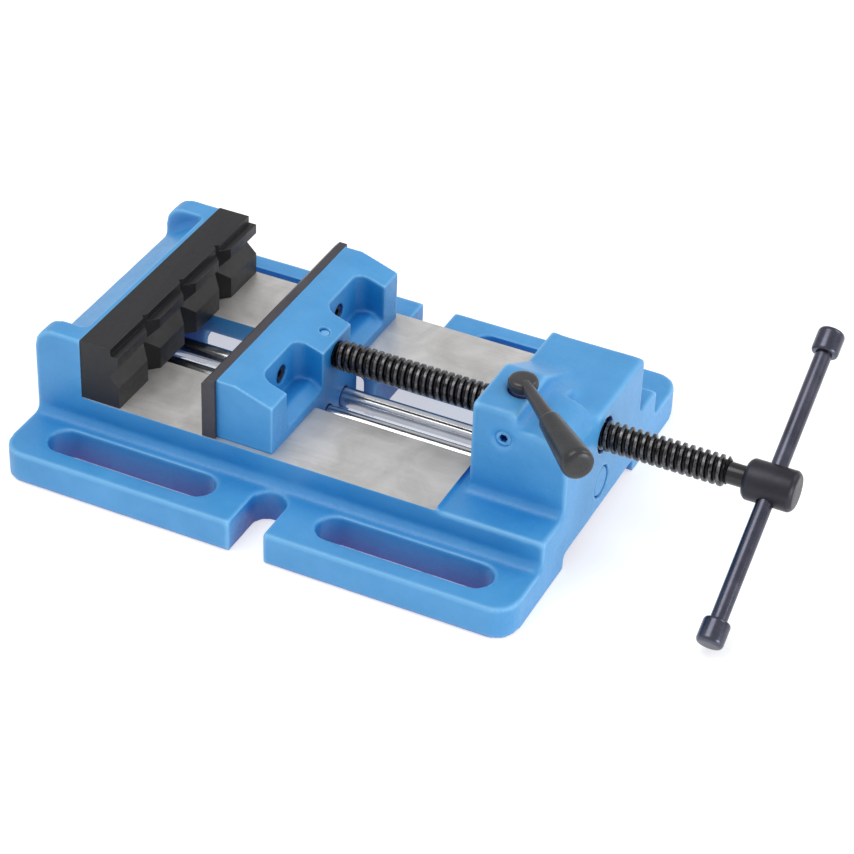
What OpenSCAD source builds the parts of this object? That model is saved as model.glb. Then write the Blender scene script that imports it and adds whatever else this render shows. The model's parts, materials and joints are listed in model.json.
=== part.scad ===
// Quick-release drill press vise: one cast base, a prism jaw and a screw-driven moving jaw.
// Origin: centre of the four mounting slots, on the underside of the base.
// +X points to the handle, +Y to the side away from the release lever, +Z up. Millimetres.

/* [Jaws] */
// Width of both jaw plates
jaw_w = 110; // [100:1:112]
// Height of the jaw tops above the table
jaw_top = 52.3; // [48:0.1:56]
// Clear opening between the jaw plates
jaw_gap = 36.1; // [10:0.1:38]
// Thickness of the prism jaw plate over its front lip
prism_t = 17; // [15:0.5:20]
// Thickness of the flat moving jaw plate
plate_t = 5.6; // [4:0.1:8]

/* [Base] */
// Overall length of the casting
base_l = 216; // [210:1:230]
// Width over the side flanges
base_w = 169; // [160:1:180]
// Thickness of the side flanges
flange_t = 14; // [10:1:18]
// Corner radius of the flanges in plan
corner_r = 10.5; // [4:0.5:12]
// Width over the rails
body_w = 111; // [108:1:114]
// Height of the ground rails above the table
rail_z = 26; // [24:1:28]
// Clear width of the channel between the rails
channel_w = 37; // [34:1:40]

/* [Mounting slots] */
// Width of the four slots, for M12 bolts
slot_w = 14; // [12:1:16]
// Length of a slot over its round ends
slot_l = 71.5; // [60:0.5:80]
// Distance between slot centres along the vise
slot_dx = 116; // [110:1:120]
// Distance between slot centres across the vise
slot_dy = 137; // [134:1:142]
// Width of the open notch in each flange
notch_w = 14; // [12:1:16]
// Depth of the notch over its round end
notch_d = 25; // [15:1:26]

/* [Screw] */
// Outside diameter of the trapezoidal thread
screw_d = 12; // [10:0.5:13]
// Height of the screw axis above the table
screw_z = 40; // [38:0.5:42]
// Length of the threaded stretch
thread_l = 162; // [150:1:170]

/* [Handle] */
// Diameter of the handle hub
hub_d = 16; // [14:0.5:18]
// Length of the handle hub
hub_l = 20; // [16:0.5:24]
// Diameter of the tommy bar
bar_d = 6.5; // [5:0.5:8]
// Length of the tommy bar over its end caps
bar_l = 132; // [120:1:150]
// Diameter of an end cap
cap_d = 10.5; // [9:0.5:12]
// Length of an end cap
cap_l = 10; // [8:0.5:12]
// Lean of the tommy bar away from upright, towards +Y
bar_lean = 58.3; // [0:0.1:90]

/* [Guide rods] */
// Diameter of the two guide rods
rod_d = 8; // [6:0.5:10]
// Distance between the rod axes
rod_dy = 14; // [12:1:16]
// Height of the rod axes above the table
rod_z = 15.3; // [14:0.1:17]

/* [Quick release] */
// Heading of the lever in plan at rest
lever_heading = -46.9; // [-60:0.1:-30]
// Rise of the lever arm above level
lever_rise = 4; // [3:0.5:8]
// Length of the lever from its axis to the tip
lever_l = 60; // [50:1:70]
// Offset of the eccentric from the lever axis
cam_e = 2; // [1.5:0.1:2.2]

/* [Hidden] */
$fn = 64;
eps = 0.01;
over = 1;               // overshoot of a cutting body past a face
run = 0.05;             // radial clearance of a turning or sliding fit
base_x = base_l / 2;
body_y = body_w / 2;
channel_y = channel_w / 2;
wall_t = 9.5;           // side and end walls around the hollow underside
rail_t = 9;             // metal left under the ground rails
cavity_z = rail_z - rail_t;
cavity_y = body_y - wall_t;
relief_z = 5.5;         // arch under both ends, between the flanges
rod_y = rod_dy / 2;

// fixed jaw
seat_x = -87.7;         // face the prism plate is bolted to
grip_x = seat_x + prism_t;
land_x = grip_x - 3.4;  // top land set back from the lip
lip_z = 49.3;
rear_z = 38.5;          // height of the sloping back of the fixed jaw
rib_w = 10;             // raised rib at each end of the fixed jaw
rib_r = 8;
groove_h = 4.9;         // half height of the prism grooves
groove_z = 40.2;
groove_dy = 28.5;       // spacing of the upright prism grooves
fixed_screw_y = 26;
fixed_screw_z = 31.5;

// moving jaw, at the opening jaw_gap
plate_x = grip_x + jaw_gap;
mj_x = plate_x + plate_t;
mj_l = 23.9;
mj_rear = mj_x + mj_l;
mj_y = 53.5;
mj_z = rail_z + run;
wall_x = mj_x + 12.3;   // back of the wall behind the jaw plate
boss_y = 12;
pocket_y = 41;
pocket_z = 33.5;
pocket_r = 5;
tongue_z = 6;
plate_screw_y = 24;
plate_screw_z = 41;
journal_d = 9;
journal_l = 15.4;
pin_x = mj_rear - 5.7;

// nut block on the handle end
block_x = 68.7;
block_y = 37.5;
block_top = 53;
near_top = 58.5;        // top of the half that carries the release gear
near_in = -7;
near_r = 14;
blend_y = 16;           // slope between the two halves of the block's top
tower_x = 86.7;         // raised tower under the lever
tower_y = -9;
tower_top = 65.5;
slope_y = 14;
web_x = 75;             // web that holds the far ends of the rods
rod_end_x = web_x - 2;
rod_lock_x = -102.5;
bore_d = 14;
plug_d = 13;
plug_l = 6;
plug_z = 18;

// release gear inside the block
cam_x = 81.4;
cam_y = -20.2;
cam_r = 6.3;
shaft_d = 10;
foot_d = 8;
chamber_r = 8.8;
nut_x0 = 77;
nut_x1 = 97;
nut_y0 = -14.6;
nut_y1 = 7;
nut_gap = 0.3;
nut_back = -11.1;
nut_face = -0.8;
nut_top = 48.6;
cover_t = 3.4;
cover_y0 = -36;
cover_y1 = 15;
cover_screws = [[79.5, -32], [93.5, -32], [79.5, 10.8], [93.5, 10.8]];
lock_z = 52.5;
spring_xs = [82.5, 91.5];
spring_z = 26;

// handle
thread_x = mj_rear + 0.3;
neck_d = 8.5;
neck_l = 6.8;
hub_x = thread_x + thread_l + neck_l;
socket_l = 5.2;
bar_x = hub_x + hub_l / 2;
hub_pin_x = hub_x + 2.7;

// lever
lever_z = 68.2;
lever_hub_d = 11.5;
lever_hub_z = 65.8;
lever_hub_h = 4.4;
spigot_d = 6;
spigot_h = 3;
arm_x0 = 3.5;
arm_l = 30;
arm_r0 = 2.3;
arm_r1 = 3.3;
grip_x0 = 28;
grip_r0 = 4.15;
grip_r1 = 6.25;

// ---- helpers ----------------------------------------------------------------

// A box from its lowest to its highest corner
module span(a, b) {
  translate(a) cube([b[0] - a[0], b[1] - a[1], b[2] - a[2]]);
}

// A cylinder along +X from x0, and the same along +Y and +Z
module rod_x(x0, l, d, y = 0, z = 0) {
  translate([x0, y, z]) rotate([0, 90, 0]) cylinder(h = l, d = d);
}

module rod_y(y0, l, d, x = 0, z = 0) {
  translate([x, y0, z]) rotate([-90, 0, 0]) cylinder(h = l, d = d);
}

module rod_z(z0, l, d, x = 0, y = 0) {
  translate([x, y, z0]) cylinder(h = l, d = d);
}

// A flat outline in X and Z, extruded along Y
module outline_xz(y0, y1) {
  translate([0, y1, 0]) rotate([90, 0, 0]) linear_extrude(y1 - y0) children();
}

// A flat outline in Y and Z, extruded along X
module outline_yz(x0, x1) {
  translate([x0, 0, 0]) rotate([90, 0, 90]) linear_extrude(x1 - x0) children();
}

// Cap screw along +X: head first, then shank
module cap_screw_x(x0, head_d, head_l, shank_d, shank_l, y, z) {
  difference() {
    rod_x(x0, head_l, head_d, y, z);
    translate([x0 - eps, y, z]) rotate([0, 90, 0]) cylinder(h = head_l * 0.6, d = shank_d * 0.9, $fn = 6);
  }
  rod_x(x0 + head_l, shank_l, shank_d, y, z);
}

// ---- base body ----------------------------------------------------------------

module flange_plate() {
  x = base_x - corner_r;
  y = base_w / 2 - corner_r;
  span([-base_x, -y, 0], [base_x, y, flange_t]);
  span([-x, -base_w / 2, 0], [x, base_w / 2, flange_t]);
  for (sx = [-1, 1], sy = [-1, 1]) rod_z(0, flange_t, 2 * corner_r, sx * x, sy * y);
}

module mounting_slots() {
  reach = (slot_l - slot_w) / 2;
  for (sx = [-1, 1], sy = [-1, 1]) translate([sx * slot_dx / 2, sy * slot_dy / 2, 0]) {
    span([-reach, -slot_w / 2, -over], [reach, slot_w / 2, flange_t + over]);
    for (e = [-1, 1]) rod_z(-over, flange_t + 2 * over, slot_w, e * reach, 0);
  }
}

module side_notches() {
  inner = base_w / 2 - notch_d + notch_w / 2;
  for (s = [-1, 1]) {
    rod_z(-over, flange_t + 2 * over, notch_w, 0, s * inner);
    translate([0, s * (inner + notch_d / 2), flange_t / 2])
      cube([notch_w, notch_d, flange_t + 2 * over], center = true);
  }
}

module fixed_jaw_upright() {
  outline_xz(-body_y, body_y)
    polygon([[-base_x, rail_z - over], [-base_x, rear_z], [seat_x, jaw_top - 1.8], [seat_x, rail_z - over]]);
  for (s = [-1, 1]) {
    y0 = s > 0 ? body_y - rib_w : -body_y;
    outline_xz(y0, y0 + rib_w) {
      translate([-base_x, rail_z - over]) square([seat_x + base_x, jaw_top - rib_r - rail_z + over]);
      translate([rib_r - base_x, rail_z]) square([seat_x + base_x - rib_r, jaw_top - rail_z]);
      translate([rib_r - base_x, jaw_top - rib_r]) circle(r = rib_r);
    }
  }
}

module nut_block() {
  span([block_x, near_in - over, rail_z - over], [base_x, block_y, block_top]);
  outline_xz(-block_y, near_in) {
    translate([block_x, rail_z - over]) square([base_x - block_x, near_top - near_r - rail_z + over]);
    translate([block_x, rail_z]) square([base_x - near_r - block_x, near_top - rail_z]);
    translate([base_x - near_r, near_top - near_r]) circle(r = near_r);
  }
  outline_yz(block_x, base_x - near_r)
    polygon([[near_in - over, block_top - over], [near_in - over, near_top], [near_in, near_top],
             [near_in + blend_y, block_top], [near_in + blend_y, block_top - over]]);
  span([block_x, -block_y, rail_z], [tower_x, tower_y, tower_top]);
  outline_yz(block_x, tower_x)
    polygon([[tower_y - over, block_top - over], [tower_y - over, tower_top], [tower_y, tower_top],
             [slope_y, block_top], [slope_y, block_top - over]]);
}

module underside_cuts() {
  deep = base_x - wall_t - 0.5;
  step_x = seat_x + 14.4;
  for (s = [-1, 1]) {
    y0 = s > 0 ? channel_y - eps : -cavity_y;
    y1 = s > 0 ? cavity_y : -channel_y + eps;
    span([-deep, y0 + (s > 0 ? 3 : 0), -over], [step_x, y1 - (s > 0 ? 0 : 3), cavity_z - 4]);
    span([step_x - over, y0, -over], [-3, y1, cavity_z]);
    span([3, y0, -over], [block_x, y1, cavity_z]);
  }
  span([web_x, -cavity_y, -over], [deep, cavity_y, cavity_z]);
  for (s = [-1, 1]) {
    x0 = s > 0 ? deep - over : -base_x - over;
    span([x0, -34, -over], [x0 + wall_t + 2.5 * over, 34, relief_z]);
  }
}

module release_cuts() {
  span([nut_x0, nut_y0, cavity_z - over], [nut_x1, nut_y1, nut_top + nut_gap]);
  rod_z(cavity_z - over, nut_top + nut_gap - cavity_z + over, 2 * chamber_r, cam_x, cam_y);
  rod_z(nut_top, tower_top - nut_top + over, shaft_d + 2 * run, cam_x, cam_y);
  rod_y(-block_y - over, block_y + over + cam_y - 2, 6, cam_x, lock_z);
  for (x = spring_xs) rod_y(nut_y1 - over, 4, 5.4, x, spring_z);
  for (c = cover_screws) rod_z(cavity_z - over, 5.5 + over, 4, c[0], c[1]);
}

module base_casting() color("#3f8fd6") {
  difference() {
    union() {
      flange_plate();
      span([-base_x, -body_y, 0], [base_x, body_y, rail_z]);
      fixed_jaw_upright();
      nut_block();
    }
    mounting_slots();
    side_notches();
    span([-86.3, -channel_y, -over], [block_x, channel_y, rail_z + eps]);
    underside_cuts();
    release_cuts();
    for (s = [-1, 1]) {
      rod_x(-base_x - over, 24, rod_d, s * rod_y, rod_z);
      rod_x(block_x - over, rod_end_x - block_x + over, rod_d, s * rod_y, rod_z);
      rod_z(relief_z - over, rod_z - relief_z, 5, rod_lock_x, s * rod_y);
      rod_x(-base_x - over, base_l / 2 + seat_x + 2 * over, 6.4, s * fixed_screw_y, fixed_screw_z);
      rod_x(-base_x - over, 8 + over, 10.5, s * fixed_screw_y, fixed_screw_z);
    }
    rod_x(block_x - over, base_x - block_x + 2 * over, bore_d, 0, screw_z);
    rod_x(base_x - plug_l, plug_l + over, plug_d, 0, plug_z);
  }
}

module prism_jaw_plate() color("#2b2b30") {
  difference() {
    outline_xz(-jaw_w / 2, jaw_w / 2)
      polygon([
        [seat_x, rail_z], [seat_x, jaw_top], [land_x, jaw_top], [land_x, lip_z],
        [grip_x, lip_z], [grip_x, groove_z + groove_h], [grip_x - groove_h, groove_z],
        [grip_x, groove_z - groove_h], [grip_x, rail_z]
      ]);
    for (k = [-1, 0, 1]) translate([grip_x, k * groove_dy, rail_z - over]) rotate([0, 0, 45])
      translate([-groove_h / sqrt(2), -groove_h / sqrt(2), 0])
        cube([groove_h * sqrt(2), groove_h * sqrt(2), jaw_top]);
    for (s = [-1, 1]) rod_x(seat_x - over, 10.5, 6, s * fixed_screw_y, fixed_screw_z);
  }
}

module fixed_jaw_screws() color("#202024")
  for (s = [-1, 1]) cap_screw_x(-base_x + 2, 10, 6, 6, 20.5, s * fixed_screw_y, fixed_screw_z);

module guide_rod(s) color("#d8d8da") difference() {
  rod_x(-base_x + 1, rod_end_x + base_x - 1, rod_d, s * rod_y, rod_z);
  rod_z(rod_z - rod_d / 2 - over, over + 0.4, 5.2, rod_lock_x, s * rod_y);
}

module guide_rod_near() guide_rod(-1);
module guide_rod_far() guide_rod(1);

module rod_lock_screws() color("#202024")
  for (s = [-1, 1]) rod_z(relief_z + 0.5, rod_z - rod_d / 2 - relief_z - 0.1, 5, rod_lock_x, s * rod_y);

module nut_cover() color("#8d9298") difference() {
  span([web_x + 0.6, cover_y0, cavity_z - cover_t], [base_x - 10.6, cover_y1, cavity_z]);
  rod_z(cavity_z - cover_t - over, cover_t + 2 * over, foot_d + 2 * run, cam_x, cam_y);
  for (c = cover_screws) rod_z(cavity_z - cover_t - over, cover_t + 2 * over, 4.4, c[0], c[1]);
}

module nut_cover_screws() color("#202024")
  for (c = cover_screws) {
    rod_z(cavity_z - cover_t - 2.6, 2.6, 7.5, c[0], c[1]);
    rod_z(cavity_z - cover_t, cover_t + 5, 4, c[0], c[1]);
  }

// Dog-point screw in the tower wall: it keeps the cam shaft from lifting
module cam_lock_screw() color("#202024") {
  difference() {
    rod_y(-block_y + 1.5, 9.5, 6, cam_x, lock_z);
    translate([cam_x, -block_y + 1.5 - eps, lock_z]) rotate([-90, 0, 0]) cylinder(h = 3, d = 3.4, $fn = 6);
  }
  rod_y(-block_y + 11, 2.3, 2.6, cam_x, lock_z);
}

module end_plug() color("#6f9fd8")
  rod_x(base_x - plug_l, plug_l - 0.5, plug_d, 0, plug_z);

module nut_springs() color("#b0b0b4")
  for (x = spring_xs) difference() {
    rod_y(nut_face + 0.3, 10.1, 5, x, spring_z);
    rod_y(nut_face, 11, 3.8, x, spring_z);
  }

// ---- moving jaw body ------------------------------------------------------------

module jaw_pocket(s) {
  y0 = s > 0 ? boss_y : -pocket_y;
  y1 = s > 0 ? pocket_y : -boss_y;
  top = jaw_top + over;
  span([wall_x + pocket_r, y0, pocket_z], [mj_rear + over, y1, top]);
  span([wall_x, y0 + pocket_r, pocket_z], [mj_rear + over, y1 - pocket_r, top]);
  for (y = [y0 + pocket_r, y1 - pocket_r]) rod_z(pocket_z, top - pocket_z, 2 * pocket_r, wall_x + pocket_r, y);
  outline_xz(y0, y1)
    polygon([[mj_rear - 5, pocket_z + over], [mj_rear - 5, pocket_z], [mj_rear, pocket_z - 3.5],
             [mj_rear + over, pocket_z - 3.5], [mj_rear + over, pocket_z + over]]);
}

module moving_jaw() color("#3f8fd6") difference() {
  union() {
    outline_xz(-mj_y, mj_y)
      polygon([[mj_x, mj_z], [mj_x, jaw_top], [mj_x + 8, jaw_top], [mj_rear, jaw_top - 5.3], [mj_rear, mj_z]]);
    span([mj_x, -channel_y + nut_gap, tongue_z], [mj_rear, channel_y - nut_gap, mj_z + over]);
  }
  for (s = [-1, 1]) {
    jaw_pocket(s);
    rod_x(mj_x - over, mj_l + 2 * over, rod_d + 2 * run, s * rod_y, rod_z);
    rod_x(mj_x - over, wall_x - mj_x + 2 * over, 4.3, s * plate_screw_y, plate_screw_z);
    rod_x(wall_x - 5, 5 + over, 7.4, s * plate_screw_y, plate_screw_z);
  }
  rod_x(mj_rear - journal_l - 1.6, journal_l + 1.6 + over, journal_d + 2 * run, 0, screw_z);
  rod_z(screw_z, jaw_top - screw_z, 4, pin_x, 0);
}

module moving_jaw_plate() color("#4a4850") {
  lean = 2.2;
  difference() {
    outline_xz(-jaw_w / 2, jaw_w / 2)
      polygon([[plate_x, rail_z + 0.1], [plate_x, jaw_top - lean], [plate_x + lean, jaw_top + 0.2],
               [mj_x, jaw_top + 0.2], [mj_x, rail_z + 0.1]]);
    for (s = [-1, 1]) rod_x(plate_x + 1.6, plate_t, 4, s * plate_screw_y, plate_screw_z);
  }
}

// Cap screws that hold the plate, with their heads in the pockets
module moving_jaw_screws() color("#202024")
  for (s = [-1, 1]) translate([wall_x - 1, 0, 0]) mirror([1, 0, 0])
    cap_screw_x(0, 7, 4, 4, 10, s * plate_screw_y, plate_screw_z);

// Hardened disc at the bottom of the journal bore
module thrust_disc() color("#c9c9cc")
  rod_x(mj_rear - journal_l - 1.6, 1.5, journal_d, 0, screw_z);

// Pin in the top of the boss, in the journal's groove
module spindle_pin() color("#3f8fd6")
  rod_z(screw_z + 3.6, 4.4, 4, pin_x, 0);

// ---- spindle body ---------------------------------------------------------------

module spindle() color("#1d1d20") {
  groove = 4.6;
  rod_x(mj_rear - journal_l, pin_x - groove / 2 - mj_rear + journal_l, journal_d, 0, screw_z);
  rod_x(pin_x - groove / 2, groove, 6.6, 0, screw_z);
  rod_x(pin_x + groove / 2, thread_x - pin_x - groove / 2, journal_d, 0, screw_z);
  rod_x(thread_x, thread_l, screw_d, 0, screw_z);
  difference() {
    rod_x(thread_x + thread_l, neck_l + socket_l, neck_d, 0, screw_z);
    hub_pin_bore();
  }
}

module hub_pin_bore(l = hub_d + 2) {
  translate([hub_pin_x, 0, screw_z]) rotate([90 - bar_lean, 0, 0]) cylinder(h = l, d = 2.5, center = true);
}

// Places its children with +Z along the tommy bar and the origin on the screw axis
module on_bar() {
  translate([bar_x, 0, screw_z]) rotate([-bar_lean, 0, 0]) children();
}

module spindle_hub() color("#33343c") {
  bevel = 1;
  difference() {
    translate([hub_x, 0, screw_z]) rotate([0, 90, 0]) {
      cylinder(h = bevel, d1 = hub_d - 2 * bevel, d2 = hub_d);
      translate([0, 0, bevel]) cylinder(h = hub_l - 2 * bevel, d = hub_d);
      translate([0, 0, hub_l - bevel]) cylinder(h = bevel, d1 = hub_d, d2 = hub_d - 2 * bevel);
    }
    on_bar() cylinder(h = hub_d + 2, d = bar_d + 2 * run, center = true);
    rod_x(hub_x - over, socket_l + over, neck_d, 0, screw_z);
    hub_pin_bore();
  }
}

module hub_pin() color("#45464e") hub_pin_bore(hub_d - 1);

// ---- tommy bar body -------------------------------------------------------------

module tommy_bar() color("#3a3b44") on_bar()
  cylinder(h = bar_l - 4, d = bar_d, center = true);

module bar_cap(s) color("#33343c") on_bar() rotate([s > 0 ? 0 : 180, 0, 0])
  translate([0, 0, bar_l / 2 - cap_l]) difference() {
    union() {
      cylinder(h = cap_l - 1, d = cap_d);
      translate([0, 0, cap_l - 1]) cylinder(h = 1, d1 = cap_d, d2 = cap_d - 2);
    }
    translate([0, 0, -over]) cylinder(h = cap_l - 2 + over, d = bar_d);
  }

module bar_cap_upper() bar_cap(1);
module bar_cap_lower() bar_cap(-1);

// ---- release lever body -----------------------------------------------------------

// Shaft with an eccentric that backs the half nut
module cam_shaft() color("#8d9298") {
  foot_z = cavity_z - cover_t;
  rod_z(foot_z, 22 - foot_z, foot_d, cam_x, cam_y);
  rod_z(22, 24, 2 * cam_r, cam_x, cam_y + cam_e);
  difference() {
    rod_z(46, lever_hub_z - 46, shaft_d, cam_x, cam_y);
    difference() {
      rod_z(lock_z - 1.8, 3.6, shaft_d + over, cam_x, cam_y);
      rod_z(lock_z - 2, 4, 7.2, cam_x, cam_y);
    }
  }
  rod_z(lever_hub_z, spigot_h, spigot_d, cam_x, cam_y);
}

// Places its children with +X along the lever arm and the origin on the lever axis
module on_arm() {
  translate([cam_x, cam_y, lever_z]) rotate([0, -lever_rise, lever_heading]) children();
}

module arm_cone() {
  on_arm() translate([arm_x0, 0, 0]) rotate([0, 90, 0]) cylinder(h = arm_l, r1 = arm_r0, r2 = arm_r1);
}

module lever_hub() color("#26262a") difference() {
  union() {
    rod_z(lever_hub_z, lever_hub_h - 1, lever_hub_d, cam_x, cam_y);
    translate([cam_x, cam_y, lever_hub_z + lever_hub_h - 1]) cylinder(h = 1, d1 = lever_hub_d, d2 = lever_hub_d - 2);
  }
  rod_z(lever_hub_z - over, spigot_h + over, spigot_d, cam_x, cam_y);
  arm_cone();
}

module lever_arm() color("#26262a") arm_cone();

module lever_grip() color("#2b2a28") difference() {
  on_arm() translate([grip_x0, 0, 0]) rotate([0, 90, 0]) {
    cylinder(h = lever_l - grip_x0 - 1.5, r1 = grip_r0, r2 = grip_r1);
    translate([0, 0, lever_l - grip_x0 - 1.5]) cylinder(h = 1.5, r1 = grip_r1, r2 = grip_r1 - 1.5);
  }
  arm_cone();
}

// ---- half nut body ------------------------------------------------------------------

// Half nut, in mesh with the screw; it backs off along -Y
module half_nut() color("#c9a24a") difference() {
  span([nut_x0 + nut_gap, nut_back, cavity_z + 0.1], [nut_x1 - nut_gap, nut_face, nut_top]);
  rod_x(nut_x0 - over, nut_x1 - nut_x0 + 2 * over, screw_d + 2 * run, 0, screw_z);
}

base_casting();
prism_jaw_plate();
fixed_jaw_screws();
guide_rod_near();
guide_rod_far();
rod_lock_screws();
nut_cover();
nut_cover_screws();
cam_lock_screw();
end_plug();
nut_springs();
moving_jaw();
moving_jaw_plate();
moving_jaw_screws();
thrust_disc();
spindle_pin();
spindle();
spindle_hub();
hub_pin();
tommy_bar();
bar_cap_upper();
bar_cap_lower();
cam_shaft();
lever_hub();
lever_arm();
lever_grip();
half_nut();
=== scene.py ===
"""Studio scene of a quick-release drill press vise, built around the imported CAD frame."""
import json
import math

import bmesh
import bpy
import numpy as np
from mathutils import Matrix, Vector, noise

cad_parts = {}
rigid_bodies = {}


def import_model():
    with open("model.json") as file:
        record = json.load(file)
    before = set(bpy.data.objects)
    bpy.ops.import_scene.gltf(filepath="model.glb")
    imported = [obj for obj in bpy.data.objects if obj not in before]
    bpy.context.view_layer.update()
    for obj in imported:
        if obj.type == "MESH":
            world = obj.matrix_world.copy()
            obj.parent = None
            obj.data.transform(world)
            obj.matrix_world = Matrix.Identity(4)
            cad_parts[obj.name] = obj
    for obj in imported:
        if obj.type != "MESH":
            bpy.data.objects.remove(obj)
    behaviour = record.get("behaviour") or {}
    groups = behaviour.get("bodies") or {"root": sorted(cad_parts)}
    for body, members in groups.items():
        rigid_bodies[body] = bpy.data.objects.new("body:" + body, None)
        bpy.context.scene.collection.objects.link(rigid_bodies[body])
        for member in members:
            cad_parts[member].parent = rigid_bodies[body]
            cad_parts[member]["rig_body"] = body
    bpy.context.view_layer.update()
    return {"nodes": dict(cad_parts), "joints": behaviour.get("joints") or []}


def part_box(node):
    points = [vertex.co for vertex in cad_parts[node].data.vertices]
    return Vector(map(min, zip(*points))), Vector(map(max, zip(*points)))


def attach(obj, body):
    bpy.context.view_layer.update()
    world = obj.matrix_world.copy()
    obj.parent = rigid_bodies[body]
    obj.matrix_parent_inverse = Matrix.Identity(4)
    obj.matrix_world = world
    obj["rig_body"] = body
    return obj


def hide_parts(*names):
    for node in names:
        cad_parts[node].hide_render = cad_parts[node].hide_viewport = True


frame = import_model()
nodes = frame["nodes"]
joints = {j["name"]: j for j in frame["joints"]}
scene = bpy.context.scene
scene.view_settings.view_transform = "Standard"
MM = 0.001


def corners(node):
    """Lowest and highest corner of a CAD node, in millimetres."""
    low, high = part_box(node)
    return Vector(low) / MM, Vector(high) / MM


# ---- where things are, from the frame ------------------------------------------------
BASE_LO, BASE_HI = corners("base_casting")
PRISM_LO, PRISM_HI = corners("prism_jaw_plate")
JAW_LO, JAW_HI = corners("moving_jaw")
ROD_LO, ROD_HI = corners("guide_rod_near")
SPINDLE_LO, SPINDLE_HI = corners("spindle")
HUB_LO, HUB_HI = corners("spindle_hub")
LEVER_LO, LEVER_HI = corners("lever_hub")
RAIL_Z = PRISM_LO.z
SCREW_Z = joints["spindle_turn"]["pos_m"][2] / MM
SCREW_R = (SPINDLE_HI.z - SPINDLE_LO.z) / 2
LEVER_AT = Vector(joints["release_lever"]["pos_m"]) / MM
BAR_DIR = Vector(joints["tommy_bar_slide"]["axis"]).normalized()
BAR_AT = Vector(((HUB_LO.x + HUB_HI.x) / 2, 0.0, SCREW_Z))
ROD_Y, ROD_Z = (ROD_LO.y + ROD_HI.y) / 2, (ROD_LO.z + ROD_HI.z) / 2
SEAT_X = PRISM_LO.x      # the face that the prism jaw is screwed to

# ---- dimensions of the casting that no box gives, in millimetres ---------------------
BODY_Y = 55.5            # half width of the raised body between the flanges
CHANNEL_Y = 18.5         # half width of the channel between the rails
RAIL_END = 64.2          # where the ground rail faces stop
BLOCK_X = 68.7           # front face of the nut block
BLOCK_Y = 37.5           # half width of the nut block's foot
FLANGE_Z = 14.0          # top of the flanges
PITCH = 3.0              # of the screw's thread
THREAD_ROOT_R = 4.55
CORE_R = 4.5             # plain part of the spindle
ROD_R = 4.0
ROD_FIT = 0.05           # gap round a guide rod in the base
BAR_HALF = 64.0          # half the tommy bar's length, without its caps
LEVER_Z = 68.2           # height at which the lever's arm leaves its hub
LEVER_RISE = 4.0         # degrees
SPRING_R = 2.15


# ---- node materials ------------------------------------------------------------------
class Mat:
    """A principled material with short calls for the nodes that feed it."""

    def __init__(self, name, **values):
        self.m = bpy.data.materials.new(name)
        self.m.use_nodes = True
        self.t = self.m.node_tree
        self.b = self.t.nodes["Principled BSDF"]
        self.where = self.t.nodes.new("ShaderNodeTexCoord").outputs["Object"]
        for key, value in values.items():
            self.set(key, value)

    def set(self, socket, value):
        socket = self.b.inputs[socket.replace("_", " ")]
        if hasattr(value, "is_output"):
            self.t.links.new(value, socket)
        else:
            socket.default_value = value

    def node(self, kind, inputs, **props):
        made = self.t.nodes.new("ShaderNode" + kind)
        for key, value in props.items():
            setattr(made, key, value)
        for key, value in inputs.items():
            if hasattr(value, "is_output"):
                self.t.links.new(value, made.inputs[key])
            else:
                made.inputs[key].default_value = value
        return made

    def stretched(self, sx, sy, sz):
        return self.node("Mapping", {"Vector": self.where, "Scale": (sx, sy, sz)}).outputs[0]

    def noise(self, scale, detail=4.0, rough=0.5, where=None, distort=0.0):
        return self.node("TexNoise", {"Vector": where or self.where, "Scale": scale, "Detail": detail,
                                      "Roughness": rough, "Distortion": distort}).outputs["Fac"]

    def cells(self, scale):
        return self.node("TexVoronoi", {"Vector": self.where, "Scale": scale}).outputs["Distance"]

    def span(self, value, a, b, lo=0.0, hi=1.0):
        return self.node("MapRange", {"Value": value, "From Min": a, "From Max": b, "To Min": lo,
                                      "To Max": hi}).outputs[0]

    def math(self, op, a, b=0.0):
        return self.node("Math", {0: a, 1: b}, operation=op).outputs[0]

    def mix(self, fac, a, b, blend="MIX"):
        made = self.node("Mix", {0: fac, 6: a, 7: b}, data_type="RGBA", blend_type=blend)
        return made.outputs[2]

    def pointy(self, a, b):
        """A mask for outer edges where a < b, and for hollows where a > b."""
        geo = self.t.nodes.new("ShaderNodeNewGeometry").outputs["Pointiness"]
        return self.span(geo, a, b)

    def worn_edge(self, radius, a, b):
        """A mask along sharp edges, outer and inner, however coarse the mesh is."""
        soft = self.node("Bevel", {"Radius": radius * MM}, samples=6).outputs[0]
        true = self.t.nodes.new("ShaderNodeNewGeometry").outputs["Normal"]
        dot = self.node("VectorMath", {0: soft, 1: true}, operation="DOT_PRODUCT").outputs["Value"]
        return self.span(dot, a, b)

    def bump(self, height, strength, distance, normal=None):
        inputs = {"Height": height, "Strength": strength, "Distance": distance * MM}
        if normal:
            inputs["Normal"] = normal
        return self.node("Bump", inputs).outputs[0]


def rgb(r, g, b):
    """Linear colour from display values 0-255."""
    linear = [c / 255 / 12.92 if c <= 10 else ((c / 255 + 0.055) / 1.055) ** 2.4 for c in (r, g, b)]
    return (*linear, 1.0)


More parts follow.
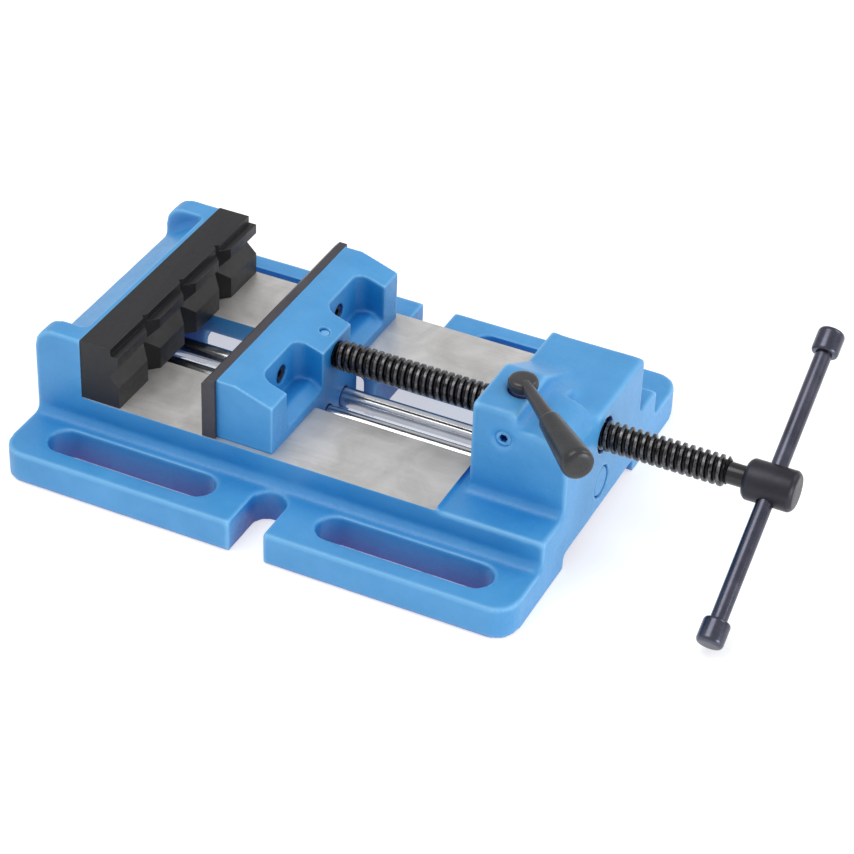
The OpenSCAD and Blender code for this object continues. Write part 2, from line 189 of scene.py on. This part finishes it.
def enamel(name, own_shade):
    """Blue enamel over a rough sand casting, with random grime and chipped edges; the lighter outer edges
    are a painted highlight, and the deeper, more violet colour in hollows and where the casting shades
    itself is painted shade.
    """
    m = Mat(name, Coat_Weight=0.15, Coat_Roughness=0.3, IOR=1.5)
    clouds = m.noise(38, 5, 0.6)
    speck = m.noise(900, 3, 0.6)
    colour = m.mix(m.span(clouds, 0.3, 0.7), rgb(58, 140, 198), rgb(76, 154, 212))
    # painted highlight: outer edges mixed to a lighter blue
    colour = m.mix(m.pointy(0.51, 0.55), colour, rgb(118, 184, 230))
    # painted shade: hollows and creases mixed to a darker blue
    colour = m.mix(m.pointy(0.488, 0.44), colour, rgb(24, 98, 170))
    # painted shade: a deeper, more saturated blue where ambient occlusion within 45 mm finds the surface
    # shaded
    wide_shade = m.node("AmbientOcclusion", {"Distance": 45 * MM}, samples=8, only_local=own_shade).outputs["AO"]
    colour = m.mix(m.span(wide_shade, 0.92, 0.48), colour, rgb(8, 120, 192))
    # painted shade: violet navy in deep pockets and channels, from ambient occlusion within 24 mm
    deep_shade = m.node("AmbientOcclusion", {"Distance": 24 * MM}, samples=8).outputs["AO"]
    colour = m.mix(m.span(deep_shade, 0.44, 0.14), colour, rgb(38, 46, 142))
    grime = m.math("MULTIPLY", m.span(m.noise(160, 6, 0.7), 0.56, 0.75), m.span(clouds, 0.45, 0.7))
    colour = m.mix(m.math("MULTIPLY", grime, 0.22), colour, rgb(34, 104, 165))
    chips = m.math("MULTIPLY", m.pointy(0.545, 0.6), m.span(m.noise(300, 4, 0.7), 0.62, 0.68))
    colour = m.mix(m.math("MULTIPLY", chips, 0.6), colour, rgb(120, 150, 180))
    m.set("Base Color", colour)
    m.set("Roughness", m.span(speck, 0.3, 0.7, 0.36, 0.56))
    grit = m.bump(m.cells(700), 0.16, 0.25)
    peel = m.bump(m.noise(420, 4, 0.6), 0.42, 0.35, grit)
    m.set("Normal", m.bump(m.noise(90, 3, 0.5), 0.35, 0.9, peel))
    return m.m


def ground_iron():
    """Surface-ground cast iron: fine lengthwise marks, with clouds of stain between them."""
    m = Mat("ground_iron", Metallic=0.55, Anisotropic=0.3)
    fine = m.noise(1.0, 3, 0.6, m.stretched(60, 2600, 60))
    coarse = m.noise(1.0, 4, 0.65, m.stretched(14, 620, 14), 0.4)
    clouds = m.noise(48, 6, 0.62, None, 0.8)
    pits = m.span(m.cells(420), 0.0, 0.12, 1.0, 0.0)
    pits = m.math("MULTIPLY", pits, m.span(m.noise(210, 2), 0.55, 0.62))
    colour = m.mix(m.span(clouds, 0.32, 0.68), rgb(192, 190, 187), rgb(222, 220, 217))
    colour = m.mix(m.math("MULTIPLY", m.span(coarse, 0.4, 0.75), 0.16), colour, rgb(160, 154, 148))
    colour = m.mix(m.math("MULTIPLY", pits, 0.5), colour, rgb(92, 84, 78))
    m.set("Base Color", colour)
    m.set("Roughness", m.math("ADD", m.span(fine, 0.2, 0.8, 0.30, 0.44),
                              m.span(clouds, 0.3, 0.7, -0.05, 0.1)))
    m.set("Normal", m.bump(coarse, 0.1, 0.05, m.bump(fine, 0.2, 0.03)))
    return m.m


def oxide(name, dark, light, rough, scale, edge, streak=(1, 1, 1), metallic=0.0, grain=0.3):
    """Black-oxide or dark polished steel with rubbed edges; the spindle's very light edge colour is partly a
    painted highlight.
    """
    m = Mat(name, Metallic=metallic, Specular_IOR_Level=0.55)
    clouds = m.noise(70, 5, 0.6)
    fine = m.noise(scale, 4, 0.65, m.stretched(*streak))
    colour = m.mix(m.span(clouds, 0.3, 0.7), dark, light)
    rub = m.math("MULTIPLY", m.worn_edge(0.5, 0.97, 0.8), m.span(m.noise(500, 3, 0.6), 0.42, 0.66))
    colour = m.mix(m.math("MULTIPLY", rub, 0.55), colour, edge)
    m.set("Base Color", colour)
    m.set("Roughness", m.math("ADD", m.span(fine, 0.25, 0.75, rough - 0.07, rough + 0.08),
                              m.span(clouds, 0.3, 0.7, -0.04, 0.05)))
    m.set("Normal", m.bump(fine, grain, 0.05))
    return m.m


def thread_rubbed_and_highlit():
    """Black-oxide thread whose crests are lighter, partly rubbed bright and partly a painted highlight; the
    root stays dark.
    """
    m = Mat("thread_oxide", Metallic=0.7, Specular_IOR_Level=0.6)
    place = m.node("SeparateXYZ", {0: m.where})
    height = m.math("SUBTRACT", place.outputs["Z"], SCREW_Z * MM)
    radius = m.math("SQRT", m.math("ADD", m.math("MULTIPLY", place.outputs["Y"], place.outputs["Y"]),
                                   m.math("MULTIPLY", height, height)))
    crest = m.span(radius, (SCREW_R - 0.5) * MM, (SCREW_R - 0.08) * MM)
    fine = m.noise(380, 4, 0.65)
    # crests mixed to light steel: partly rubbed wear, partly a painted highlight on the crests
    rub = m.math("MULTIPLY", crest, m.span(fine, 0.38, 0.62, 0.12, 1.0))
    colour = m.mix(m.span(m.noise(70, 5, 0.6), 0.3, 0.7), rgb(10, 10, 12), rgb(24, 23, 26))
    m.set("Base Color", m.mix(rub, colour, rgb(108, 107, 110)))
    m.set("Roughness", m.math("ADD", m.span(fine, 0.25, 0.75, 0.20, 0.34), m.math("MULTIPLY", rub, -0.04)))
    m.set("Normal", m.bump(fine, 0.3, 0.05))
    return m.m


def bright_steel(name, tone, rough, streak=(30, 1500, 1500)):
    """Ground or turned bright steel."""
    m = Mat(name, Metallic=1.0)
    fine = m.noise(1.0, 3, 0.6, m.stretched(*streak))
    clouds = m.noise(60, 4)
    m.set("Base Color", m.mix(m.span(clouds, 0.3, 0.7), tuple(0.86 * c for c in tone[:3]) + (1,), tone))
    m.set("Roughness", m.span(fine, 0.2, 0.8, rough - 0.05, rough + 0.09))
    m.set("Normal", m.bump(fine, 0.18, 0.02))
    return m.m


def moulded(name, colour, light, rough):
    """Moulded plastic grip with a fine even texture."""
    m = Mat(name, Specular_IOR_Level=0.5)
    grain = m.noise(1500, 2, 0.5)
    m.set("Base Color", m.mix(m.span(m.noise(120, 4), 0.3, 0.7), colour, light))
    m.set("Roughness", m.span(grain, 0.3, 0.7, rough - 0.05, rough + 0.07))
    m.set("Normal", m.bump(grain, 0.22, 0.05))
    return m.m


PAINT = enamel("blue_enamel", True)
JAW_PAINT = enamel("blue_enamel_jaw", False)
GROUND = ground_iron()
JAW_BLACK = oxide("jaw_oxide", rgb(6, 6, 9), rgb(14, 14, 18), 0.46, 420, rgb(96, 96, 104))
JAW_GREY = oxide("plate_oxide", rgb(44, 42, 48), rgb(62, 59, 66), 0.44, 420, rgb(140, 136, 140))
SCREW_BLACK = oxide("screw_oxide", rgb(16, 16, 18), rgb(30, 30, 34), 0.34, 500, rgb(110, 108, 110))
# the spindle's light edge colour is partly rubbed wear and partly a painted highlight along its edges
SPINDLE_BLACK = oxide("spindle_oxide", rgb(8, 8, 10), rgb(18, 17, 20), 0.22, 380, rgb(170, 168, 172),
                      streak=(6, 1, 1))
THREAD = thread_rubbed_and_highlit()
HANDLE = oxide("handle_steel", rgb(70, 71, 82), rgb(92, 93, 106), 0.26, 300, rgb(170, 170, 180),
               metallic=1.0, grain=0.15)
HUB_STEEL = oxide("hub_steel", rgb(40, 40, 46), rgb(56, 56, 63), 0.38, 300, rgb(130, 130, 138),
                  metallic=0.7, grain=0.2)
LEVER_STEEL = oxide("lever_steel", rgb(36, 34, 37), rgb(56, 53, 58), 0.30, 420, rgb(150, 146, 146))
GRIP = moulded("grip_plastic", rgb(30, 31, 32), rgb(46, 47, 49), 0.30)
ROD_STEEL = bright_steel("rod_steel", (0.66, 0.67, 0.70, 1), 0.18)
PLAIN_STEEL = bright_steel("plain_steel", (0.52, 0.53, 0.55, 1), 0.34, (300, 300, 300))
BRONZE = bright_steel("bronze", (0.68, 0.47, 0.21, 1), 0.32, (200, 200, 200))


# ---- mesh helpers --------------------------------------------------------------------
def finish_piece(obj, body, material, replaced=(), sharp=35, more=()):
    """Gives a new piece its material, shading, body and the CAD nodes it stands for."""
    obj.data.materials.clear()
    for m in (material, *more):
        obj.data.materials.append(m)
    obj.data.shade_smooth()
    obj.data.set_sharp_from_angle(angle=math.radians(sharp))
    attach(obj, body)
    if replaced:
        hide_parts(*replaced)
    return obj


def new_object(name, bm):
    """Turns bm into an object in the scene, and frees bm."""
    bmesh.ops.recalc_face_normals(bm, faces=bm.faces[:])
    mesh = bpy.data.meshes.new(name)
    bm.to_mesh(mesh)
    bm.free()
    obj = bpy.data.objects.new(name, mesh)
    scene.collection.objects.link(obj)
    return obj


def baked(obj):
    """Applies an object's modifiers to its mesh."""
    graph = bpy.context.evaluated_depsgraph_get()
    mesh = bpy.data.meshes.new_from_object(obj.evaluated_get(graph))
    obj.modifiers.clear()
    obj.data = mesh
    return obj


def cad_bmesh(node, tidy=True):
    """A CAD node's mesh with its corners joined, and its flat faces too if tidy."""
    bm = bmesh.new()
    bm.from_mesh(nodes[node].data)
    bmesh.ops.remove_doubles(bm, verts=bm.verts[:], dist=2e-6)
    if tidy:
        bmesh.ops.dissolve_limit(bm, angle_limit=math.radians(1), verts=bm.verts[:], edges=bm.edges[:])
    return bm


def machined(node, material, width=0.3, segments=2):
    """Stands for a CAD node: the same solid with its sharp edges broken."""
    obj = new_object(node + "_finished", cad_bmesh(node))
    bevel = obj.modifiers.new("bevel", "BEVEL")
    bevel.width = width * MM
    bevel.segments = segments
    bevel.angle_limit = math.radians(32)
    return finish_piece(baked(obj), nodes[node]["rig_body"], material, [node], 12)


def add_box(bm, low, high):
    low, high = Vector(low), Vector(high)
    size = [(h - l) * MM for l, h in zip(low, high)]
    move = Matrix.Translation((low + high) / 2 * MM) @ Matrix.Diagonal(size + [1])
    bmesh.ops.create_cube(bm, size=1, matrix=move)


def add_prism(bm, outline, place):
    """A closed prism: outline is 2-D points, place maps (u, v, end 0 or 1) to millimetres."""
    rings = [[bm.verts.new(Vector(place(u, v, e)) * MM) for u, v in outline] for e in (0, 1)]
    bm.faces.new(rings[0][::-1])
    bm.faces.new(rings[1])
    count = len(outline)
    for i in range(count):
        j = (i + 1) % count
        bm.faces.new((rings[0][i], rings[0][j], rings[1][j], rings[1][i]))


def add_rod(bm, start, direction, length, radius, segments=72):
    direction = Vector(direction).normalized()
    turn = direction.to_track_quat("Z", "Y").to_matrix().to_4x4()
    centre = (Vector(start) + direction * length / 2) * MM
    bmesh.ops.create_cone(bm, cap_ends=True, segments=segments, radius1=radius * MM, radius2=radius * MM,
                          depth=length * MM, matrix=Matrix.Translation(centre) @ turn)


def cut(obj, fill):
    """Machines obj with the closed shapes that fill(bm) adds, one boolean for each call."""
    bm = bmesh.new()
    fill(bm)
    tool = new_object("tool", bm)
    step = obj.modifiers.new("cut", "BOOLEAN")
    step.operation = "DIFFERENCE"
    step.solver = "MANIFOLD"
    step.object = tool
    baked(obj)
    bpy.data.objects.remove(tool)


def cast(name, bm, voxel, rounds, grain, blend=None):
    """A sand casting: one skin over all the shapes in bm, softened, with an uneven surface.

    blend(point) gives how much more a place is softened, from 0 to 1."""
    obj = new_object(name, bm)
    skin = obj.modifiers.new("skin", "REMESH")
    skin.mode = "VOXEL"
    skin.voxel_size = voxel * MM
    soft = obj.modifiers.new("soft", "SMOOTH")
    soft.factor = 0.5
    soft.iterations = rounds
    baked(obj)
    if blend:
        group = obj.vertex_groups.new(name="blend")
        for v in obj.data.vertices:
            weight = blend(v.co / MM)
            if weight > 0:
                group.add([v.index], weight, "REPLACE")
        more = obj.modifiers.new("blend", "SMOOTH")
        more.factor = 0.6
        more.iterations = 26
        more.vertex_group = "blend"
        baked(obj)
        obj.vertex_groups.clear()
    count = len(obj.data.vertices)
    spots, normals = np.empty(count * 3), np.empty(count * 3)
    obj.data.vertices.foreach_get("co", spots)
    obj.data.vertex_normals.foreach_get("vector", normals)
    spots = spots.reshape(count, 3)
    wave = np.array([0.6 * noise.noise(Vector(p) * 95) + 0.4 * noise.noise(Vector(p) * 260) for p in spots])
    spots -= normals.reshape(count, 3) * (grain * MM * (0.5 + 0.5 * wave))[:, None]
    obj.data.vertices.foreach_set("co", spots.ravel())
    obj.data.update()
    return obj


def fillet(points, radius, steps=4):
    """Rounds each inner corner of a turned profile of (along, radius) points."""
    out = [points[0]]
    for a, b, c in zip(points, points[1:], points[2:]):
        a, b, c = Vector(a), Vector(b), Vector(c)
        r = min(radius, 0.45 * (a - b).length, 0.45 * (c - b).length)
        p, q = b + (a - b).normalized() * r, b + (c - b).normalized() * r
        for i in range(steps + 1):
            t = i / steps
            out.append(tuple(p * (1 - t) ** 2 + b * 2 * t * (1 - t) + q * t ** 2))
    return out + [points[-1]]


def turned(name, at, direction, profile, body, material, replaced=(), segments=72, radius=0.5):
    """A lathe-turned piece: profile is (along, radius) points, from axis to axis."""
    bm = bmesh.new()
    axis = Vector(direction).normalized()
    side = axis.orthogonal().normalized()
    up = axis.cross(side)
    rings = []
    for along, r in fillet(profile, radius):
        centre = Vector(at) + axis * along
        if r < 1e-6:
            rings.append([bm.verts.new(centre * MM)])
            continue
        ring = []
        for i in range(segments):
            a = 2 * math.pi * i / segments
            ring.append(bm.verts.new((centre + (side * math.cos(a) + up * math.sin(a)) * r) * MM))
        rings.append(ring)
    for one, two in zip(rings, rings[1:]):
        for i in range(segments):
            j = (i + 1) % segments
            if len(one) == 1:
                bm.faces.new((one[0], two[j], two[i]))
            elif len(two) == 1:
                bm.faces.new((one[i], one[j], two[0]))
            else:
                bm.faces.new((one[i], one[j], two[j], two[i]))
    return finish_piece(new_object(name, bm), body, material, replaced)


# ---- base casting --------------------------------------------------------------------
def fillet_strip(bm, x0, x1, y, z, leg, side):
    """Triangular fillet stock in the corner between a wall at y and the top at z."""
    outline = [(y - side, z - 1), (y + side * leg, z - 1), (y + side * leg, z), (y, z + leg),
               (y - side, z + leg)]
    add_prism(bm, outline, lambda u, v, e: (x1 if e else x0, u, v))


def base_stock(bm):
    """What is cast on: machining stock on the rails and seat, and fillets in the long corners."""
    for s in (-1, 1):
        y0, y1 = sorted((s * CHANNEL_Y, s * BODY_Y))
        add_box(bm, (SEAT_X - 3, y0, RAIL_Z - 3), (RAIL_END, y1, RAIL_Z + 2))
        fillet_strip(bm, BASE_LO.x + 1.5, BASE_HI.x - 1.5, s * BODY_Y, FLANGE_Z, 2.6, s)
        fillet_strip(bm, BLOCK_X, BASE_HI.x - 1, s * BLOCK_Y, RAIL_Z, 2.2, s)
    add_box(bm, (SEAT_X - 3, -BODY_Y, RAIL_Z), (SEAT_X + 2, BODY_Y, PRISM_HI.z))
    outline = [(BLOCK_X + 1, RAIL_Z - 1), (BLOCK_X - 2, RAIL_Z - 1), (BLOCK_X - 2, RAIL_Z),
               (BLOCK_X, RAIL_Z + 2), (BLOCK_X + 1, RAIL_Z + 2)]
    for y0, y1 in ((-36.5, -CHANNEL_Y), (CHANNEL_Y, 36.5)):
        add_prism(bm, outline, lambda u, v, e: (u, y1 if e else y0, v))


def base_tools(bm):
    """Grinds the rails and the jaw seat, and faces the underside."""
    add_box(bm, (SEAT_X, -BODY_Y - 4, RAIL_Z), (RAIL_END, BODY_Y + 4, RAIL_Z + 60))
    add_box(bm, (BASE_LO.x - 9, BASE_LO.y - 9, -9), (BASE_HI.x + 9, BASE_HI.y + 9, 0))


def base_bores(bm):
    """Opens the bores for the screw, rods, set screw and plug through the cast skin."""
    add_rod(bm, (BLOCK_X - 9, 0, SCREW_Z), (1, 0, 0), 60, 7.02)
    for s in (-1, 1):
        add_rod(bm, (BASE_LO.x - 3, s * ROD_Y, ROD_Z), (1, 0, 0), 26, ROD_R + ROD_FIT)
    add_rod(bm, (LEVER_AT.x, -36.9, 52.5), (0, -1, 0), 8, 3.05)
    plug = corners("end_plug")
    add_rod(bm, (plug[0].x, 0, (plug[0].z + plug[1].z) / 2), (1, 0, 0), 20, 6.5)


def nut_pocket(bm):
    """The machined slot in which the half nut slides sideways."""
    low, high = corners("half_nut")
    room = Vector((0.2, 0.2, 0.2))
    add_box(bm, low - room - Vector((0, 3, 0)), high + room)


def block_blend(p):
    """The top of the nut block runs together in soft slopes."""
    return min(1.0, max(0.0, (p.z - 50.5) / 3)) * min(1.0, max(0.0, (p.x - BLOCK_X - 1.5) / 4))


def build_base():
    """The base casting, with its rails ground bare."""
    bm = cad_bmesh("base_casting", tidy=False)
    base_stock(bm)
    obj = cast("vise_base", bm, 0.9, 9, 0.22, block_blend)
    cut(obj, base_tools)
    cut(obj, base_bores)
    cut(obj, nut_pocket)
    low, high = (RAIL_Z - 0.02) * MM, (RAIL_Z + 0.02) * MM
    end = RAIL_END * MM
    bare = [f.normal.z > 0.999 and low < f.center.z < high and f.center.x < end for f in obj.data.polygons]
    finish_piece(obj, "base", PAINT, ["base_casting"], more=[GROUND])
    obj.data.polygons.foreach_set("material_index", [int(b) for b in bare])


# ---- moving jaw casting --------------------------------------------------------------
def jaw_stock(bm):
    """Machining stock under the jaw and on its front face."""
    for s in (-1, 1):
        y0, y1 = sorted((s * (CHANNEL_Y - 0.5), s * JAW_HI.y))
        add_box(bm, (JAW_LO.x, y0, RAIL_Z - 1.4), (JAW_HI.x, y1, RAIL_Z + 2))
    add_box(bm, (JAW_LO.x - 1.5, JAW_LO.y, RAIL_Z - 1.4), (JAW_LO.x + 2, JAW_HI.y, JAW_HI.z))


def jaw_tools(bm):
    """Faces the jaw where its plate sits."""
    add_box(bm, (JAW_LO.x - 9, -70, -9), (JAW_LO.x, 70, 70))


def jaw_sole(bm):
    """Faces the jaw where it slides on the rails."""
    for s in (-1, 1):
        y0, y1 = sorted((s * (CHANNEL_Y - 0.3), s * 70))
        add_box(bm, (JAW_LO.x - 9, y0, -9), (JAW_HI.x + 9, y1, RAIL_Z + 0.05))


def jaw_bores(bm):
    """Opens the bores for the plate's screws, the rods, the spindle and its pin."""
    head = corners("moving_jaw_screws")
    screw_z = (head[0].z + head[1].z) / 2
    screw_y = head[1].y - 3.5
    for s in (-1, 1):
        add_rod(bm, (head[1].x - 4, s * screw_y, screw_z), (1, 0, 0), 6, 3.7)
        add_rod(bm, (JAW_LO.x - 5, s * ROD_Y, ROD_Z), (1, 0, 0), 40, 4.08)
    add_rod(bm, (JAW_HI.x - 17, 0, SCREW_Z), (1, 0, 0), 30, 4.6)
    pin = corners("spindle_pin")
    add_rod(bm, ((pin[0].x + pin[1].x) / 2, 0, pin[1].z - 0.5), (0, 0, 1), 10, 2.1)


def build_moving_jaw():
    """The sliding jaw casting, machined in front, underneath and in its bores."""
    bm = cad_bmesh("moving_jaw", tidy=False)
    jaw_stock(bm)
    obj = cast("sliding_jaw_casting", bm, 0.6, 8, 0.18)
    for tool in (jaw_tools, jaw_sole, jaw_bores):
        cut(obj, tool)
    finish_piece(obj, "sliding_jaw", JAW_PAINT, ["moving_jaw"])


# ---- screw thread --------------------------------------------------------------------
def thread(name, x0, x1, pitch, crest, root, segments=60):
    """A right-hand trapezoidal thread along +X, as one helical skin closed at both ends."""
    profile = [(0.0, root), (0.26, root), (0.32, root + 0.12), (0.43, crest - 0.12), (0.47, crest),
               (0.79, crest), (0.83, crest - 0.12), (0.94, root + 0.12)]
    bm = bmesh.new()
    rows = []
    total = int(math.ceil((x1 - x0) / pitch)) + 2
    for i in range(total * segments + 1):
        a = 2 * math.pi * i / segments
        row = []
        for s, r in profile:
            x = x0 + pitch * (i / segments - 1.0 + s)
            r = min(r, root + 0.2 + max(0.0, x - x0) * 1.1, root + 0.2 + max(0.0, x1 - x) * 1.1)
            if x < x0 or x > x1:
                x = min(max(x, x0), x1)
            row.append(bm.verts.new(Vector((x, r * math.cos(a), SCREW_Z + r * math.sin(a))) * MM))
        rows.append(row)
    width = len(profile)
    for i in range(len(rows) - 1):
        for j in range(width):
            if j + 1 < width:
                quad = (rows[i][j], rows[i + 1][j], rows[i + 1][j + 1], rows[i][j + 1])
            elif i + 1 + segments < len(rows):
                quad = (rows[i][j], rows[i + 1][j], rows[i + 1 + segments][0], rows[i + segments][0])
            else:
                continue
            bm.faces.new(quad)
    bmesh.ops.remove_doubles(bm, verts=bm.verts[:], dist=3e-6)
    bmesh.ops.dissolve_degenerate(bm, dist=1e-6, edges=bm.edges[:])
    bmesh.ops.holes_fill(bm, edges=[e for e in bm.edges if e.is_boundary], sides=0)
    return new_object(name, bm)


def build_screw():
    """The spindle: a helical thread on a plain core, with the cross-bored handle hub."""
    thread_x0, thread_x1 = JAW_HI.x + 0.3, HUB_LO.x - 6.8
    helix = thread("spindle_thread", thread_x0, thread_x1, PITCH, SCREW_R, THREAD_ROOT_R)
    finish_piece(helix, "screw", THREAD, (), 40)
    groove = thread_x0 - 6.0
    core = [(SPINDLE_LO.x, 0), (SPINDLE_LO.x, CORE_R), (groove - 2.3, CORE_R), (groove - 2.3, 3.3),
            (groove + 2.3, 3.3), (groove + 2.3, CORE_R), (thread_x0 + 0.4, CORE_R), (thread_x0 + 0.6, 4.2),
            (thread_x1 - 0.6, 4.2), (thread_x1 - 0.4, 4.25), (HUB_LO.x + 5, 4.25), (HUB_LO.x + 5, 0)]
    turned("spindle_core", (0, 0, SCREW_Z), (1, 0, 0), core, "screw", SPINDLE_BLACK, ["spindle"],
           64, 0.3)
    length = HUB_HI.x - HUB_LO.x
    hub = [(0, 0), (0, 6.6), (1.5, 8), (length - 1.5, 8), (length, 6.6), (length, 0)]
    shell = turned("handle_hub", (HUB_LO.x, 0, SCREW_Z), (1, 0, 0), hub, "screw", HUB_STEEL, ["spindle_hub"],
                   96, 0.7)
    cut(shell, lambda bm: add_rod(bm, BAR_AT - BAR_DIR * 12, BAR_DIR, 24, 3.45))
    shell.data.shade_smooth()
    shell.data.set_sharp_from_angle(angle=math.radians(35))


def build_bar():
    """The tommy bar with its two end caps."""
    bar = [(-BAR_HALF, 0), (-BAR_HALF, 3.25), (BAR_HALF, 3.25), (BAR_HALF, 0)]
    turned("sliding_bar", BAR_AT, BAR_DIR, bar, "bar", HANDLE, ["tommy_bar"], 72, 0.6)
    cap = [(56, 0), (56, 3.6), (56.2, 4.9), (57.2, 5.25), (64.6, 5.25), (65.7, 4.7), (66, 3.6), (66, 0)]
    for name, s in (("upper", 1), ("lower", -1)):
        turned("bar_end_" + name, BAR_AT, BAR_DIR * s, cap, "bar", HANDLE, ["bar_cap_" + name],
               72, 0.5)


def build_lever():
    """The quick-release lever: turned hub, tapered arm and moulded grip."""
    grip_lo, grip_hi = corners("lever_grip")
    start = Vector((LEVER_AT.x, LEVER_AT.y, LEVER_Z))
    grip_middle = Vector(((grip_lo.x + grip_hi.x) / 2, (grip_lo.y + grip_hi.y) / 2, 0))
    flat = grip_middle - Vector((start.x, start.y, 0))
    aim = Vector((flat.x, flat.y, math.tan(math.radians(LEVER_RISE)) * flat.length)).normalized()
    base = LEVER_LO.z
    top = LEVER_HI.z - base
    hub = [(0, 0), (0, 5.35), (0.5, 5.75), (top - 1.5, 5.75), (top - 0.5, 5.0), (top, 3.4), (top, 0)]
    turned("lever_boss", (LEVER_AT.x, LEVER_AT.y, base), (0, 0, 1), hub, "lever", LEVER_STEEL, ["lever_hub"],
           72, 0.9)
    arm = [(2.0, 0), (2.0, 2.25), (8, 2.35), (18, 2.7), (28.5, 3.25), (32, 3.3), (32, 0)]
    turned("lever_stem", start, aim, arm, "lever", LEVER_STEEL, ["lever_arm"], 56, 1.5)
    grip = [(28, 0), (28, 3.3), (28.3, 3.95), (29.2, 4.25), (38, 4.9), (50, 5.75), (57.2, 6.25), (59.3, 5.6),
            (60, 3.8), (60, 0)]
    turned("lever_handle", start, aim, grip, "lever", GRIP, ["lever_grip"], 72, 1.2)
    machined("cam_shaft", PLAIN_STEEL, 0.3)


def build_springs():
    """Wound wire springs where the CAD has plain tubes."""
    low, high = corners("nut_springs")
    z = (low.z + high.z) / 2
    for k, x in enumerate((low.x + 2.5, high.x - 2.5)):
        curve = bpy.data.curves.new("wire", "CURVE")
        curve.dimensions = "3D"
        curve.bevel_depth = 0.33 * MM
        curve.bevel_resolution = 3
        line = curve.splines.new("POLY")
        turns, steps = 7, 24
        line.points.add(turns * steps)
        for i, point in enumerate(line.points):
            t = i / (turns * steps)
            a = 2 * math.pi * turns * t
            spot = Vector((x + SPRING_R * math.cos(a), low.y + 0.4 + (high.y - low.y - 0.8) * t,
                           z + SPRING_R * math.sin(a)))
            point.co = (*(spot * MM), 1)
        obj = bpy.data.objects.new("nut_spring_%d" % (k + 1), curve)
        scene.collection.objects.link(obj)
        graph = bpy.context.evaluated_depsgraph_get()
        mesh = bpy.data.meshes.new_from_object(obj.evaluated_get(graph))
        bpy.data.objects.remove(obj)
        wire = bpy.data.objects.new("return_spring_%d" % (k + 1), mesh)
        scene.collection.objects.link(wire)
        finish_piece(wire, "base", PLAIN_STEEL, ["nut_springs"])


def build_small_parts():
    """Plates, screws, pins, plug and rods: the plain machined pieces."""
    machined("prism_jaw_plate", JAW_BLACK, 0.45, 3)
    machined("moving_jaw_plate", JAW_GREY, 0.4, 3)
    machined("nut_cover", PLAIN_STEEL, 0.4)
    machined("half_nut", BRONZE, 0.3)
    machined("thrust_disc", ROD_STEEL, 0.2)
    machined("spindle_pin", PAINT, 0.4)
    machined("hub_pin", HANDLE, 0.2)
    machined("cam_lock_screw", PAINT, 0.25)
    for node in ("fixed_jaw_screws", "rod_lock_screws", "nut_cover_screws", "moving_jaw_screws"):
        machined(node, SCREW_BLACK, 0.25)
    low, high = corners("end_plug")
    depth, r = high.x - low.x, (high.z - low.z) / 2 - 0.35
    turned("core_plug", (low.x, 0, (low.z + high.z) / 2), (1, 0, 0),
           [(0, 0), (0, r), (depth - 0.6, r), (depth, r - 0.7), (depth, 0)], "base", PAINT, ["end_plug"],
           64, 0.4)
    length = ROD_HI.x - ROD_LO.x
    rod = [(0, 0), (0, 3.4), (0.6, ROD_R), (length - 0.6, ROD_R), (length, 3.4), (length, 0)]
    for side in ("near", "far"):
        low, high = corners("guide_rod_" + side)
        at = (low.x, (low.y + high.y) / 2, (low.z + high.z) / 2)
        turned("rod_" + side, at, (1, 0, 0), rod, "base", ROD_STEEL, ["guide_rod_" + side],
               72, 0.2)


# ---- studio --------------------------------------------------------------------------
def build_studio():
    """A pale glowing floor, an even white world and three soft round lights."""
    bm = bmesh.new()
    bmesh.ops.create_grid(bm, x_segments=1, y_segments=1, size=6)
    floor = new_object("studio_floor", bm)
    m = Mat("studio_paper", Roughness=0.85)
    m.set("Base Color", m.mix(m.span(m.noise(3, 2), 0.3, 0.7), (0.6, 0.6, 0.61, 1), (0.64, 0.64, 0.64, 1)))
    m.set("Emission Color", (1.0, 1.0, 1.0, 1))
    m.set("Emission Strength", 0.55)
    floor.data.materials.append(m.m)

    world = bpy.data.worlds.new("studio_world")
    world.use_nodes = True
    world.node_tree.nodes["Background"].inputs[0].default_value = (0.97, 0.98, 1.0, 1)
    world.node_tree.nodes["Background"].inputs[1].default_value = 0.72
    scene.world = world
    for name, at, size, power, tint in (
            ("key", (-0.35, -0.3, 1.25), 0.9, 6.0, (1, 0.99, 0.97)),
            ("rim", (0.9, 0.7, 0.9), 0.8, 3.5, (1, 1, 1)),
            ("side", (1.3, -0.3, 0.22), 0.6, 5.0, (1, 0.99, 1))):
        light = bpy.data.lights.new(name, "AREA")
        light.shape = "DISK"
        light.size = size
        light.energy = power
        light.color = tint
        obj = bpy.data.objects.new(name, light)
        obj.location = at
        obj.rotation_euler = (-Vector(at)).to_track_quat("-Z", "Y").to_euler()
        scene.collection.objects.link(obj)


def build_camera():
    """A long lens from the near right and above, rolled a little."""
    spot, target = Vector((0.395, -0.7993, 0.6558)), Vector((0.0343, 0.0, 0.0183))
    roll = math.radians(2.33)
    ahead = (target - spot).normalized()
    level = ahead.cross(Vector((0, 0, 1))).normalized()
    rise = level.cross(ahead)
    right = level * math.cos(roll) + rise * math.sin(roll)
    up = rise * math.cos(roll) - level * math.sin(roll)
    data = bpy.data.cameras.new("camera")
    data.sensor_width = 36
    data.lens = 117.7
    data.clip_start = 0.02
    data.clip_end = 50
    camera = bpy.data.objects.new("camera", data)
    camera.matrix_world = Matrix.Translation(spot) @ Matrix((right, up, -ahead)).transposed().to_4x4()
    scene.collection.objects.link(camera)
    scene.camera = camera


build_camera()
build_studio()
build_base()
build_moving_jaw()
build_screw()
build_bar()
build_lever()
build_springs()
build_small_parts()
